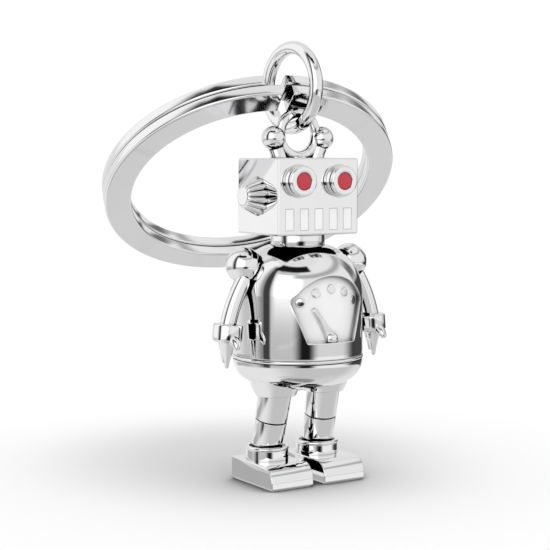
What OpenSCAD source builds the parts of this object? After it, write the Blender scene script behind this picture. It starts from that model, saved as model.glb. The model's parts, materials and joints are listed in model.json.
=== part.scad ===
// Key-ring charm in the shape of a small standing robot, cast in metal and plated.
// Origin: on the floor, midway between the feet, under the neck. +Z is up, the robot faces -Y,
// and its left side is at +X. Millimetres.

/* [Feet and ankles] */
// Width of one foot
foot_w = 5.2; // [4.6:0.1:5.6]
// Gap between the two feet
foot_gap = 1.4; // [1:0.1:2]
// Height of a foot
foot_h = 2.45; // [2.2:0.05:2.6]
// Front end of a foot
toe_y = -4.15; // [-4.4:0.05:-3.9]
// Back end of a foot
heel_y = 3.95; // [3.7:0.05:4.2]
// Radius over the rim of an ankle cuff
cuff_r = 2.32; // [2.2:0.02:2.4]
// Height of an ankle cuff above its foot
cuff_h = 1.45; // [1.3:0.05:1.5]

/* [Legs] */
// Sideways distance from the middle to a leg
leg_x = 3.05; // [2.9:0.05:3.2]
// Height of the hip axle
hip_z = 10; // [9.9:0.05:10.2]
// Radius of a thigh
thigh_r = 1.8; // [1.76:0.01:1.82]
// Radius of a shin
shin_r = 1.66; // [1.6:0.02:1.7]
// Backward lean of a thigh
thigh_lean = 12.3; // [11.5:0.1:12.5]
// Backward lean of a shin
shin_lean = 13.3; // [12.5:0.1:14]
// Radius of the hip axle
axle_r = 0.35; // [0.3:0.05:0.4]

/* [Body] */
// Radius of the torso
torso_r = 6.93; // [6.8:0.01:7]
// Radius of the torso's rounded shoulder
dome_r = 5.2; // [5:0.1:5.4]
// Depth of the dial's recess
dial_depth = 0.6; // [0.4:0.05:0.8]
// Radius of the neck collar
neck_r = 2.89; // [2.6:0.01:3.1]

/* [Arms] */
// Sideways distance from the middle to a shoulder ball's centre
shoulder_x = 6.71; // [6.6:0.01:6.8]
// Height of the shoulder balls
shoulder_z = 23.25; // [23.2:0.01:23.3]
// Radius of a shoulder ball
ball_r = 1.92; // [1.85:0.01:1.95]
// Radius of an arm's tube
arm_r = 0.85; // [0.75:0.01:0.88]

/* [Head] */
// Width of the head
head_w = 10; // [9.8:0.1:10.2]
// Depth of the head
head_d = 8; // [7.8:0.1:8.2]
// Height of the head
head_h = 8; // [7.8:0.1:8.2]
// Radius of an eye's barrel
eye_r = 1.65; // [1.5:0.01:1.7]
// How far an eye's barrel stands out
eye_len = 1.1; // [0.9:0.05:1.3]
// Number of flutes round an ear knob
flutes = 14; // [12:1:18]

/* [Rings] */
// Outer diameter of the split ring
split_od = 33.2; // [32.8:0.1:33.4]
// Width of the split ring's flat wire
split_w = 3; // [2.8:0.1:3.2]
// Thickness of the split ring's flat wire
split_t = 1.31; // [1.2:0.01:1.34]
// Radius of the jump ring, at the middle of its wire
jump_r = 4.2; // [4.1:0.05:4.3]
// Radius of the jump ring's wire
jump_wire_r = 0.72; // [0.68:0.01:0.74]

/* [Hidden] */
$fn = 96;

chrome = [0.82, 0.83, 0.85];
steel = [0.66, 0.67, 0.69];
tiny = 0.01;
run_gap = 0.05;                        // radial clearance of a turning fit

// Legs
cuff_x = leg_x + 0.15;
cuff_y = 1.0;                          // the ankle stands behind the middle of the foot
cuff_seat = foot_h + cuff_h - 0.28;    // floor of the cuff's recess, where the shin stands
hip_y = -0.45;
knee_x = leg_x + 0.1;
knee_y = 0.26;
knee_z = 6.75;
leg_splay = -2;                        // each leg leans a little outwards going down
knee_gap = 0.12;                       // open seam between thigh and shin
knee_lean = (thigh_lean + shin_lean) / 2;
dowel_r = 0.7;                         // knee and ankle dowels
leg_taper = 0.06;                      // a leg piece is this much thinner at its lower end
socket_r = 2.04;                       // inside of a hip socket
socket_wall = 0.18;
socket_flare = 0.25;                   // growth of a socket's outside going up
socket_z = 9.45;                       // lower edge of the hip sockets

// Body levels, from the pelvis up
bowl_z = 10.05;
rim_z = 13.1;
groove_z = 13.25;
torso_z = 13.65;
spigot_r = 5.85;
spigot_top = 14.8;
dome_z = 20.2;                         // height where the rounded shoulder begins
torso_top = 25.2;
cavity_top = 24.2;
collar_top = 26.36;
cavity_r = 4.6;
attic_r = 3.6;                         // upper part of the cavity, between the shoulders

// Dial
dial_r = 4.93;
dial_z = 17.4;
dial_bottom = 15.45;
floor_r = torso_r - dial_depth;

// Arms: a bent tube from the ball to the wrist
arm_bend_r = 14.3;
wrist_lean = 14;
hand_lean = 5;                         // the hand hangs more upright than the wrist
arm_sweep = 20;
arm_y = -0.8;
wrist_x = 9.1;
wrist_z = 17.4;
ball_gap = 0.15;
arm_clear = 0.07;                      // between a turning arm and the torso's side

// Head
head_z = 26.4;
head_top = head_z + head_h;
eye_x = 2.54;
eye_z = 32;
ear_z = 30.4;
antenna_x = 3.06;
antenna_z = 36.47;

// Eyelet and jump ring
eyelet_z = 36.87;
eyelet_r = 2.25;
eyelet_wire_r = 0.53;
jump_lean = 22;
jump_turn = 4;
jump_pivot_z = eyelet_z + eyelet_r;
jump_hang = jump_r - (eyelet_wire_r + jump_wire_r + 0.07);

// Split ring: nearly two turns of flat wire, stepping from one level to the other
split_mid_r = split_od / 2 - split_w / 2;
split_step = 1.37;
split_centre = [1.67, 12.68, 32.05];
split_tilt = -37.4;
split_turn = -14;
split_start = 272;
ramp_start = 627.5;
ramp_end = 630.9;
split_end = 982.3;
split_parts = 75;                      // parts in each turn
ramp_parts = 9;
wire_edge = 0.22;                      // chamfer on the flat wire's corners

// ---------- helpers ----------

module for_side(side) {
  if (side < 0) mirror([1, 0, 0]) children();
  else children();
}

// Rectangle from [x0, y0] to [x1, y1] with cut corners
module cut_rect(x0, y0, x1, y1, cut) {
  polygon([
    [x0 + cut, y0], [x1 - cut, y0], [x1, y0 + cut], [x1, y1 - cut],
    [x1 - cut, y1], [x0 + cut, y1], [x0, y1 - cut], [x0, y0 + cut]
  ]);
}

// Everything above the lower edge of the knee's seam, or everything below its upper edge
module knee_half(above) {
  translate([knee_x, knee_y, knee_z])
    rotate([knee_lean, 0, 0])
      translate([-5, -5, above ? -knee_gap / 2 : knee_gap / 2 - 10])
        cube([10, 10, 10]);
}

// Dowel across the knee, and its holes
module knee_dowel() {
  translate([knee_x, knee_y, knee_z])
    rotate([knee_lean, 0, 0])
      cylinder(r = dowel_r, h = 2.4, center = true);
}

// Dowel up through the cuff, and its holes
module ankle_dowel() {
  translate([cuff_x, cuff_y, 1.2])
    cylinder(r = dowel_r, h = 3.6);
}

// ---------- legs ----------

// Side outline of a foot: rounded toe, thin step above the sole
module foot_side() {
  toe_r = 1.7;
  step = 0.3;
  polygon(concat(
    [[toe_y + step, 0], [heel_y - step, 0], [heel_y, step], [heel_y, foot_h - 0.12]],
    [[heel_y - 0.12, foot_h]],
    [for (a = [90 : 3 : 180]) [toe_y + toe_r + toe_r * cos(a), foot_h - toe_r + toe_r * sin(a)]],
    [[toe_y, step]]
  ));
}

module foot(side) {
  color(chrome) for_side(side)
    difference() {
      intersection() {
        rotate([90, 0, 90]) linear_extrude(height = 8) foot_side();
        translate([0, 6, 0]) rotate([90, 0, 0]) linear_extrude(height = 12)
          polygon([
            [foot_gap / 2 + 0.3, 0], [foot_gap / 2 + foot_w - 0.3, 0],
            [foot_gap / 2 + foot_w, 0.3], [foot_gap / 2 + foot_w, foot_h - 0.1],
            [foot_gap / 2 + foot_w - 0.1, foot_h], [foot_gap / 2 + 0.1, foot_h],
            [foot_gap / 2, foot_h - 0.1], [foot_gap / 2, 0.3]
          ]);
      }
      ankle_dowel();
    }
}

module ankle_cuff(side) {
  rim = 0.24;
  color(chrome) for_side(side)
    difference() {
      translate([cuff_x, cuff_y, 0])
        rotate_extrude() {
          translate([0, foot_h]) square([cuff_r - 0.07, cuff_h - rim]);
          translate([0, foot_h]) square([cuff_r - rim, cuff_h]);
          translate([cuff_r - rim, foot_h + cuff_h - rim]) circle(r = rim);
        }
      translate([cuff_x, cuff_y, cuff_seat]) cylinder(r = 1.95, h = 1);
      ankle_dowel();
    }
}

module ankle_pin(side) {
  color(steel) for_side(side) ankle_dowel();
}

module shin(side) {
  color(chrome) for_side(side)
    difference() {
      translate([knee_x, knee_y, knee_z])
        rotate([shin_lean, leg_splay, 0])
          translate([0, 0, -4]) cylinder(r1 = shin_r - leg_taper, r2 = shin_r + leg_taper, h = 7);
      knee_half(true);
      translate([-2, -8, cuff_seat - 10]) cube([12, 16, 10]);
      knee_dowel();
      ankle_dowel();
    }
}

module knee_pin(side) {
  color(steel) for_side(side) knee_dowel();
}

module thigh(side) {
  color(chrome) for_side(side)
    difference() {
      translate([leg_x, hip_y, hip_z]) {
        sphere(r = thigh_r);
        rotate([thigh_lean, leg_splay, 0])
          translate([0, 0, -5]) cylinder(r1 = thigh_r - leg_taper, r2 = thigh_r, h = 5);
      }
      knee_half(false);
      knee_dowel();
      translate([-1, hip_y, hip_z])
        rotate([0, 90, 0]) cylinder(r = axle_r + run_gap, h = 8);
    }
}

// ---------- body ----------

// One axle carries both legs; it is pressed into the pelvis from the robot's left
module hip_axle() {
  color(steel)
    translate([-leg_x - 2.1, hip_y, hip_z])
      rotate([0, 90, 0]) cylinder(r = axle_r, h = 2 * leg_x + 4.2);
}

// Underside of the pelvis: a quarter turn of a rounded bowl
function bowl_r(z) = torso_r * pow(1 - pow((rim_z + 0.1 - z) / (rim_z + 0.1 - bowl_z), 2.2), 1 / 3);

module pelvis_bowl() {
  bowl_steps = 16;
  color(chrome)
    difference() {
      union() {
        rotate_extrude()
          polygon(concat(
            [[0, rim_z], [0, bowl_z + 0.02]],
            [for (i = [0 : bowl_steps])
              let (z = bowl_z + 0.02 + (rim_z - bowl_z - 0.02) * pow(i / bowl_steps, 1.7))
                [bowl_r(z), z]]
          ));
        cylinder_from(rim_z - tiny, groove_z, 6.74);
        cylinder_from(groove_z - tiny, spigot_top, spigot_r);
        for (s = [-1, 1])
          translate([s * leg_x, hip_y, socket_z])
            cylinder(
              r1 = socket_r + socket_wall, r2 = socket_r + socket_wall + socket_flare,
              h = rim_z - socket_z - 1.6
            );
      }
      for (s = [-1, 1])
        translate([s * leg_x, hip_y, hip_z]) {
          sphere(r = socket_r);
          translate([0, 0, -2]) cylinder(r = socket_r, h = 2);
        }
      hip_axle();
    }
}

// Upright cylinder from one height to another
module cylinder_from(z0, z1, r) {
  translate([0, 0, z0]) cylinder(r = r, h = z1 - z0);
}

module waist_ring() {
  bead = (torso_z - groove_z) / 2;
  color(chrome)
    difference() {
      rotate_extrude() {
        translate([0, groove_z]) square([torso_r - 0.1, 2 * bead]);
        translate([torso_r - 0.12, groove_z + bead]) circle(r = bead);
      }
      cylinder_from(groove_z - 1, torso_z + 1, spigot_r);
    }
}

// Torso outline moved inwards by a given depth
module torso_outline(inset) {
  intersection() {
    union() {
      translate([0, torso_z]) square([torso_r - inset, dome_z - torso_z]);
      translate([torso_r - dome_r, dome_z]) circle(r = dome_r - inset);
      translate([0, dome_z]) square([torso_r - dome_r, dome_r - inset]);
    }
    translate([0, torso_z]) square([8, torso_top - torso_z]);
  }
}

// Fan-shaped outline of the dial, as a block through the chest
module dial_block() {
  rotate([90, 0, 0]) linear_extrude(height = 9)
    intersection() {
      translate([0, dial_z]) circle(r = dial_r);
      polygon([
        [-2.88, dial_bottom], [2.88, dial_bottom], [4.4, 19.6], [6, 23.5], [-6, 23.5], [-4.4, 19.6]
      ]);
    }
}

module dial_floor() {
  rotate_extrude() torso_outline(dial_depth);
}

module torso_shell() {
  color(chrome)
    difference() {
      rotate_extrude() torso_outline(0);
      difference() {
        dial_block();
        dial_floor();
      }
      lamp_studs(1);
      cylinder_from(torso_z - 1, spigot_top + 0.2, spigot_r);
      cylinder_from(torso_z, dome_z + 1.3, cavity_r);
      cylinder_from(torso_z, cavity_top, attic_r);
      cylinder_from(torso_z, torso_top + 1, 1 + run_gap);
      for (s = [-1, 1])
        translate([s * shoulder_x, 0, shoulder_z]) {
          sphere(r = ball_r + ball_gap);
          rotate([0, -s * 90, 0]) cylinder(r = 0.45 + run_gap, h = 4);
        }
    }
}

// Radius of the recess's floor at a given height
function floor_at(z) =
  z < dome_z ? floor_r : torso_r - dome_r + sqrt(pow(dome_r - dial_depth, 2) - pow(z - dome_z, 2));

// Five round studs in an arc, sunk into the recess's floor
module lamp_studs(stand_out) {
  lamp_turn = [-31.4, -16.1, 0, 16.1, 31.4];
  lamp_z = [19.6, 20.55, 20.95, 20.55, 19.6];
  sunk = 0.35;
  for (i = [0 : 4])
    rotate([0, 0, lamp_turn[i]])
      translate([0, sunk - floor_at(lamp_z[i]), lamp_z[i]])
        rotate([90, 0, 0]) cylinder(r = 0.42, h = sunk + stand_out);
}

module dial_lamps() {
  color([0.6, 0.6, 0.62]) lamp_studs(0.1);
}

module dial_needle() {
  color(chrome)
    difference() {
      intersection() {
        rotate([90, 0, 0]) linear_extrude(height = 9)
          polygon([[-0.62, 15.75], [0.25, 16.2], [-1.95, 19.05], [-2.25, 18.85]]);
        rotate_extrude() torso_outline(dial_depth - 0.16);
      }
      dial_floor();
      dial_dome(0);
    }
}

module dial_dome(grow) {
  translate([0, -floor_r, dial_bottom + 0.1]) sphere(r = 0.62 + grow, $fn = 64);
}

module dial_pivot() {
  color(chrome)
    difference() {
      dial_dome(0);
      dial_floor();
      translate([-2, -8, dial_bottom - 3]) cube([4, 4, 3]);
    }
}

module neck_collar() {
  color(chrome)
    difference() {
      cylinder_from(torso_top, collar_top, neck_r);
      cylinder_from(torso_top - 1, collar_top + 1, 1 + run_gap);
    }
}

// Flanged rivet: pressed into the head, turning in the collar
module neck_rivet() {
  color(steel) {
    cylinder_from(cavity_top - 0.7, cavity_top - run_gap, 1.7);
    cylinder_from(cavity_top - run_gap - tiny, head_z + 1.8, 1);
  }
}

// ---------- arms ----------

module ball_solid() {
  translate([shoulder_x, 0, shoulder_z]) sphere(r = ball_r);
}

module shoulder_rivet_solid() {
  flange_x = 2.8;
  translate([flange_x, 0, shoulder_z])
    rotate([0, 90, 0]) {
      cylinder(r = 0.85, h = 0.6);
      cylinder(r = 0.45, h = shoulder_x + 0.7 - flange_x);
    }
}

module shoulder_ball(side) {
  color(chrome) for_side(side)
    difference() {
      ball_solid();
      shoulder_rivet_solid();
    }
}

module shoulder_rivet(side) {
  color(steel) for_side(side) shoulder_rivet_solid();
}

// The tube ends on the top face of the hand's cuff
module arm(side) {
  spare = 2;
  color(chrome) for_side(side)
    difference() {
      translate([
        wrist_x - arm_bend_r * cos(wrist_lean), arm_y, wrist_z - arm_bend_r * sin(wrist_lean)
      ])
        rotate([90, 0, 0]) rotate([0, 0, wrist_lean - spare])
          rotate_extrude(angle = arm_sweep + spare)
            translate([arm_bend_r, 0]) circle(r = arm_r);
      ball_solid();
      translate([wrist_x, arm_y, wrist_z])
        rotate([0, -hand_lean, 0])
          translate([-5, -5, -10]) cube([10, 10, 10]);
      translate([0, 0, shoulder_z])
        rotate([0, 90, 0]) cylinder(r = 5, h = torso_r + arm_clear);
    }
}

// One digit of the claw: a cone with a round tip, hanging from a point and leaning
module digit(at, lean_x, lean_y, r0, r1, len) {
  translate(at)
    rotate([lean_x, lean_y, 0])
      rotate_extrude($fn = 48)
        intersection() {
          union() {
            polygon([[0, 0], [r0, 0], [r1, -len], [0, -len]]);
            translate([0, -len]) circle(r = r1);
          }
          translate([0, -len - 1]) square([r0 + 1, len + 1]);
        }
}

module hand(side) {
  cuff_len = 1.9;
  cuff_r0 = 1.55;
  round_r = 0.3;
  color(chrome) for_side(side)
    translate([wrist_x, arm_y, wrist_z])
      rotate([0, -hand_lean, 0]) {
        translate([0, 0, -cuff_len])
          rotate_extrude() {
            square([cuff_r0 - round_r, cuff_len]);
            translate([0, round_r]) square([cuff_r0, cuff_len - 2 * round_r]);
            translate([cuff_r0 - round_r, round_r]) circle(r = round_r);
            translate([cuff_r0 - round_r, cuff_len - round_r]) circle(r = round_r);
          }
        digit([0, -0.25, -cuff_len + 0.4], 2, 2, 0.95, 0.22, 2.9);
        digit([0, 0.5, -cuff_len + 0.4], 0, 2, 0.8, 0.2, 2.4);
        digit([0, -0.7, -cuff_len + 0.5], -68, 0, 0.6, 0.42, 1.35);
        digit([0, -1.9, -cuff_len + 0.05], 10, 0, 0.42, 0.2, 0.7);
      }
}

// ---------- head ----------

module teeth_solids(grow) {
  pitch = 1.81;
  for (i = [-2 : 2])
    translate([i * pitch - 0.5, -head_d / 2 - grow, 26.95]) cube([1, 0.25 + grow, 2.2]);
}

module head_block() {
  cut = 0.18;
  color(chrome)
    difference() {
      intersection() {
        translate([0, 0, head_z]) linear_extrude(height = head_h)
          cut_rect(-head_w / 2, -head_d / 2, head_w / 2, head_d / 2, cut);
        translate([0, 6, 0]) rotate([90, 0, 0]) linear_extrude(height = 12)
          cut_rect(-head_w / 2, head_z, head_w / 2, head_top, cut);
        translate([-6, 0, 0]) rotate([90, 0, 90]) linear_extrude(height = 12)
          cut_rect(-head_d / 2, head_z, head_d / 2, head_top, cut);
      }
      teeth_solids(1);
      cylinder_from(head_z - 1, head_z + 1.8, 1);
    }
}

module teeth_enamel() {
  color("white") teeth_solids(0);
}

// Two stacked rings with a groove between them and a shallow cup for the enamel
module eye_barrel(side) {
  rim = 0.22;
  groove = [0.5, 0.62];
  color(chrome) for_side(side)
    translate([eye_x, -head_d / 2, eye_z])
      rotate([90, 0, 0])
        difference() {
          rotate_extrude() {
            square([eye_r, groove.x]);
            square([eye_r - 0.12, groove.y]);
            translate([0, groove.y]) square([eye_r - 0.04, eye_len - rim - groove.y]);
            square([eye_r - 0.04 - rim, eye_len]);
            translate([eye_r - 0.04 - rim, eye_len - rim]) circle(r = rim);
          }
          translate([0, 0, eye_len - 0.25]) cylinder(r = 0.95, h = 1);
        }
}

module eye_enamel(side) {
  color([0.8, 0.2, 0.25]) for_side(side)
    translate([eye_x, -head_d / 2, eye_z])
      rotate([90, 0, 0])
        translate([0, 0, eye_len - 0.25]) cylinder(r = 0.95, h = 0.24);
}

// Fluted knob: a star with one point for each flute, which narrows away from the head to
// its flat end
module ear_knob(side) {
  levels = [[0, 2.07], [1.55, 1.35], [1.9, 0.95]];    // distance from the head and radius
  valley = 0.82;
  sides = 2 * flutes;
  points = [
    for (level = levels, i = [0 : sides - 1])
      let (r = level.y * (i % 2 == 0 ? 1 : valley))
        [level.x, r * cos(i * 180 / flutes), r * sin(i * 180 / flutes)]
  ];
  skin = [
    for (i = [0 : len(levels) - 2], j = [0 : sides - 1])
      let (k = (j + 1) % sides)
        [i * sides + j, (i + 1) * sides + j, (i + 1) * sides + k, i * sides + k]
  ];
  last = (len(levels) - 1) * sides;
  caps = [
    [for (j = [0 : sides - 1]) j],
    [for (j = [sides - 1 : -1 : 0]) last + j]
  ];
  color(chrome) for_side(side)
    translate([head_w / 2, 0, ear_z])
      polyhedron(points = points, faces = concat(skin, caps));
}

module eyelet_loop() {
  translate([0, 0, eyelet_z])
    rotate([90, 0, 0])
      rotate_extrude() translate([eyelet_r, 0]) circle(r = eyelet_wire_r);
}

// Ball on a leaning stem; the eyelet's wire passes through the side of the ball
module antenna(side) {
  color(chrome) for_side(side)
    difference() {
      union() {
        translate([antenna_x, 0, antenna_z]) sphere(r = 1.28);
        translate([antenna_x, 0, antenna_z]) rotate([0, 18.6, 0])
          translate([0, 0, -3]) cylinder(r = 0.8, h = 3);
      }
      translate([0, -2, head_top - 3]) cube([6, 4, 3]);
      eyelet_loop();
    }
}

module top_eyelet() {
  color(chrome)
    difference() {
      union() {
        eyelet_loop();
        cylinder_from(head_top, eyelet_z - eyelet_r, 0.9);
      }
      translate([-4, -2, head_top - 3]) cube([8, 4, 3]);
    }
}

// ---------- rings ----------

// Moves its children into the jump ring's frame: local Z is the ring's own axis
module jump_frame() {
  translate([0, 0, jump_pivot_z])
    rotate([-jump_lean, 0, jump_turn])
      translate([0, 0, jump_hang])
        rotate([0, 90, 0])
          children();
}

// The wire's ends butt together with a hairline seam, at the back of the ring
module jump_ring() {
  seam = 0.8;
  color(chrome)
    jump_frame()
      rotate([0, 0, 40 + seam / 2])
        rotate_extrude(angle = 360 - seam)
          translate([jump_r, 0]) circle(r = jump_wire_r);
}

// Height of the wire's middle at a given turn; the wire steps up sharply once
function split_level(a) =
  let (u = max(0, min(1, (a - ramp_start) / (ramp_end - ramp_start))))
    split_step * (u * u * (3 - 2 * u) - 0.5);

// Cross-section of the flat wire, from its lower inner corner
function wire_section() =
  let (w = split_w / 2, t = split_t / 2, c = wire_edge)
    [[-w + c, -t], [w - c, -t], [w, -t + c], [w, t - c], [w - c, t], [-w + c, t],
     [-w, t - c], [-w, -t + c]];

module split_ring() {
  section = wire_section();
  sides = len(section);
  turns = concat(
    [for (i = [0 : split_parts]) split_start + (ramp_start - split_start) * i / split_parts],
    [for (i = [1 : ramp_parts]) ramp_start + (ramp_end - ramp_start) * i / ramp_parts],
    [for (i = [1 : split_parts]) ramp_end + (split_end - ramp_end) * i / split_parts]
  );
  last = len(turns) - 1;
  points = [
    for (a = turns, p = section)
      [(split_mid_r + p.x) * cos(a), (split_mid_r + p.x) * sin(a), split_level(a) + p.y]
  ];
  skin = [
    for (i = [0 : last - 1], j = [0 : sides - 1])
      let (k = (j + 1) % sides)
        [i * sides + j, (i + 1) * sides + j, (i + 1) * sides + k, i * sides + k]
  ];
  caps = [
    [for (j = [0 : sides - 1]) j],
    [for (j = [sides - 1 : -1 : 0]) last * sides + j]
  ];
  color(chrome)
    translate(split_centre)
      rotate([split_tilt, 0, split_turn])
        polyhedron(points = points, faces = concat(skin, caps));
}

foot(1);  // foot_left
foot(-1);  // foot_right
ankle_cuff(1);  // ankle_cuff_left
ankle_cuff(-1);  // ankle_cuff_right
ankle_pin(1);  // ankle_pin_left
ankle_pin(-1);  // ankle_pin_right
shin(1);  // shin_left
shin(-1);  // shin_right
knee_pin(1);  // knee_pin_left
knee_pin(-1);  // knee_pin_right
thigh(1);  // thigh_left
thigh(-1);  // thigh_right
hip_axle();
pelvis_bowl();
waist_ring();
torso_shell();
dial_lamps();
dial_needle();
dial_pivot();
neck_collar();
neck_rivet();
shoulder_ball(1);  // shoulder_ball_left
shoulder_ball(-1);  // shoulder_ball_right
shoulder_rivet(1);  // shoulder_rivet_left
shoulder_rivet(-1);  // shoulder_rivet_right
arm(1);  // arm_left
arm(-1);  // arm_right
hand(1);  // hand_left
hand(-1);  // hand_right
head_block();
teeth_enamel();
eye_barrel(1);  // eye_barrel_left
eye_barrel(-1);  // eye_barrel_right
eye_enamel(1);  // eye_enamel_left
eye_enamel(-1);  // eye_enamel_right
ear_knob(1);  // ear_knob_left
ear_knob(-1);  // ear_knob_right
antenna(1);  // antenna_left
antenna(-1);  // antenna_right
top_eyelet();
jump_ring();
split_ring();
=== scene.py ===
import json
import math

import bmesh
import bpy
from mathutils import Matrix, Vector


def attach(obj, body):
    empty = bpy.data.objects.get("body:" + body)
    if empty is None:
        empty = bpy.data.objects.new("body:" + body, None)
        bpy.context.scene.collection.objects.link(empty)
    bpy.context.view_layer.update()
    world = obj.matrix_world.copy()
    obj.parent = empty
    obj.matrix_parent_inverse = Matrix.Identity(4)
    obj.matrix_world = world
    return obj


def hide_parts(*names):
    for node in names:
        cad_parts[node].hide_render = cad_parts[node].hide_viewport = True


# A small plated robot on a key ring. The model's sizes are in millimetres and become metres in
# clean_mesh(). Those of the studio, the camera and the materials are in metres.

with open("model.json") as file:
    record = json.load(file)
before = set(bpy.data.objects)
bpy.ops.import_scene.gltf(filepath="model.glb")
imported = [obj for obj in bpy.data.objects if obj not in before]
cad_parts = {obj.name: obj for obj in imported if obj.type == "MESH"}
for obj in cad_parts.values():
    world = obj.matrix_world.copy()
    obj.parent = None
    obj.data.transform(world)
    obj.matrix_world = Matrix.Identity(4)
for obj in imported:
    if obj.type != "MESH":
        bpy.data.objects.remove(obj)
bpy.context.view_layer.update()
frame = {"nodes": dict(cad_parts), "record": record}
nodes = frame["nodes"]

MM = 0.001
VIEW_TURN = math.radians(32.7)      # the camera stands to the robot's right of its front
VIEW_DROP = math.radians(4.64)      # and looks slightly down
CAMERA_PLACE, CAMERA_LENS = (-0.08274, -0.12443, 0.03410), 92.17


# ---------------------------------------------------------------- node helpers

class Tree:
    """Short calls for building a node tree."""

    def __init__(self, tree):
        self.tree = tree
        self.nodes = tree.nodes
        self.links = tree.links

    def add(self, kind, **settings):
        node = self.nodes.new(kind)
        for key, value in settings.items():
            setattr(node, key, value)
        return node

    def feed(self, node, socket, value):
        if isinstance(value, bpy.types.NodeSocket):
            self.links.new(value, node.inputs[socket])
        else:
            node.inputs[socket].default_value = value

    def math(self, operation, *values, clamp=False):
        node = self.add("ShaderNodeMath", operation=operation, use_clamp=clamp)
        for i, value in enumerate(values):
            self.feed(node, i, value)
        return node.outputs[0]

    def step(self, value, start, end, low=0.0, high=1.0):
        """low before start, high after end, and smooth between them."""
        node = self.add("ShaderNodeMapRange", interpolation_type="SMOOTHSTEP")
        sockets = ("Value", "From Min", "From Max", "To Min", "To Max")
        for socket, setting in zip(sockets, (value, start, end, low, high)):
            self.feed(node, socket, setting)
        return node.outputs["Result"]

    def mix(self, factor, a, b):
        node = self.add("ShaderNodeMix", data_type="RGBA")
        self.feed(node, "Factor", factor)
        self.feed(node, "A", a)
        self.feed(node, "B", b)
        return node.outputs["Result"]

    def noise(self, vector, scale, detail=3.0, roughness=0.5):
        node = self.add("ShaderNodeTexNoise")
        self.feed(node, "Vector", vector)
        self.feed(node, "Scale", scale)
        self.feed(node, "Detail", detail)
        self.feed(node, "Roughness", roughness)
        return node.outputs["Fac"]


def grey(level):
    return (level, level, level, 1.0)


# ---------------------------------------------------------------- studio light

# Panels and flags of the studio, as seen from the robot. Azimuth is in degrees from straight
# behind the robot as the camera sees it, to the right; height is in degrees above the floor.
# Each row: middle azimuth, half width, edge softness, low, high, edge softness, brightness.
PANELS = [
    (0, 62, 30, -20, 60, 14, 0.80),         # backdrop
    (115, 62, 14, 4, 66, 6, 0.85),          # wall on the right
    (-85, 27, 14, -4.2, 66, 2.4, 0.98),     # window on the left
    (122, 40, 18, -4.4, 4, 2, 0.88),        # bright strip at the foot of the right wall
    (112, 44, 36, -9.5, -4, 2, 0.70),       # table in front of it
    (115, 40, 16, -18, -9, 1.6, 0.90),
    (50, 11, 8, 10, 34, 20, 0.16),          # dim corner behind, on the right
    (50, 31, 34, -14, -5, 3, 0.05),         # its dark foot
    (40, 20, 8, -9, 9, 4, 0.06),
    (-158, 26, 14, -14, -3, 4, 0.54),       # table under the soft box
    (-162, 26, 14, -6.0, 46, 3.2, 1.30),    # main soft box, beside the camera
    (-113, 2, 26, -20, 60, 8, 0.05),        # dark stand beside the soft box
    (-123, 7, 6, -20, 58, 5, 0.05),         # its near edge
    (112, 78, 24, 38, 47, 8, 0.42),         # dim beam over the right wall
    (-168, 46, 10, 53, 68, 5, 0.01),        # dark beam over the camera
    (167, 15, 20, -16, -4, 3, 0.01),        # far edge of the table
    (-28, 40, 16, -24, -9, 6, 0.92),        # bright floor behind
    (0, 60, 60, -60, -20, 8, 0.80),
    (-90, 62, 66, -60, -18, 8, 0.84),       # lighter floor on the left
    (-65, 24, 16, -16, -9.6, 1.6, 0.44),    # shade on the left, beside the feet
    (20, 80, 60, -74, -50, 8, 0.67),        # floor below the rings
    (-70, 50, 50, -74, -50, 8, 0.84),
    (0, 181, 0.1, -95, -74, 6, 0.30),       # shade under the feet
]
SKY_TOP = 0.80
WALL = 0.62
FLOOR_TONE = 0.58
ROOM_WALLS = 1.0                    # light from the sides on everything that is not plated
ROOM_CEILING = 0.30
SHADE_CENTRE = (0.001, 0.012, 0)    # painted shadow: the table's colour is darker round this point
SHADE_START, SHADE_END = 0.009, 0.030
CONTACT_REACH = 0.004               # how near a part has to be for painted contact shadow on the table
CORNER_REACH = 0.0005               # how tight a corner has to be to get painted shade


def studio_group():
    """Brightness of the studio in a direction, used for what the plating reflects."""
    tree = bpy.data.node_groups.new("studio", "ShaderNodeTree")
    tree.interface.new_socket("Direction", in_out="INPUT", socket_type="NodeSocketVector")
    tree.interface.new_socket("Colour", in_out="OUTPUT", socket_type="NodeSocketColor")
    t = Tree(tree)
    start = t.add("NodeGroupInput")
    rotated = t.add("ShaderNodeVectorRotate", rotation_type="Z_AXIS")
    t.feed(rotated, "Vector", start.outputs[0])
    t.feed(rotated, "Angle", VIEW_TURN)
    unit = t.add("ShaderNodeVectorMath", operation="NORMALIZE")
    t.feed(unit, 0, rotated.outputs[0])
    part = t.add("ShaderNodeSeparateXYZ")
    t.feed(part, 0, unit.outputs[0])
    degrees = 180 / math.pi
    azimuth = t.math("MULTIPLY", t.math("ARCTAN2", part.outputs["X"], part.outputs["Y"]), degrees)
    height = t.math("MULTIPLY", t.math("ARCSINE", part.outputs["Z"]), degrees)
    colour = t.mix(t.step(height, -3, 1), grey(FLOOR_TONE), grey(WALL))
    colour = t.mix(t.step(height, 58, 66), colour, grey(SKY_TOP))
    for middle, half, edge, low, high, edge_z, level in PANELS:
        turn = t.math("ABSOLUTE", t.math("WRAP", t.math("SUBTRACT", azimuth, middle), 180.0, -180.0))
        across = t.step(turn, half - edge / 2, half + edge / 2, 1.0, 0.0)
        above = t.step(height, low - edge_z / 2, low + edge_z / 2)
        below = t.step(height, high - edge_z / 2, high + edge_z / 2, 1.0, 0.0)
        share = t.math("MULTIPLY", across, t.math("MULTIPLY", above, below))
        colour = t.mix(share, colour, grey(level))
    end = t.add("NodeGroupOutput")
    t.links.new(colour, end.inputs[0])
    return tree


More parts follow.
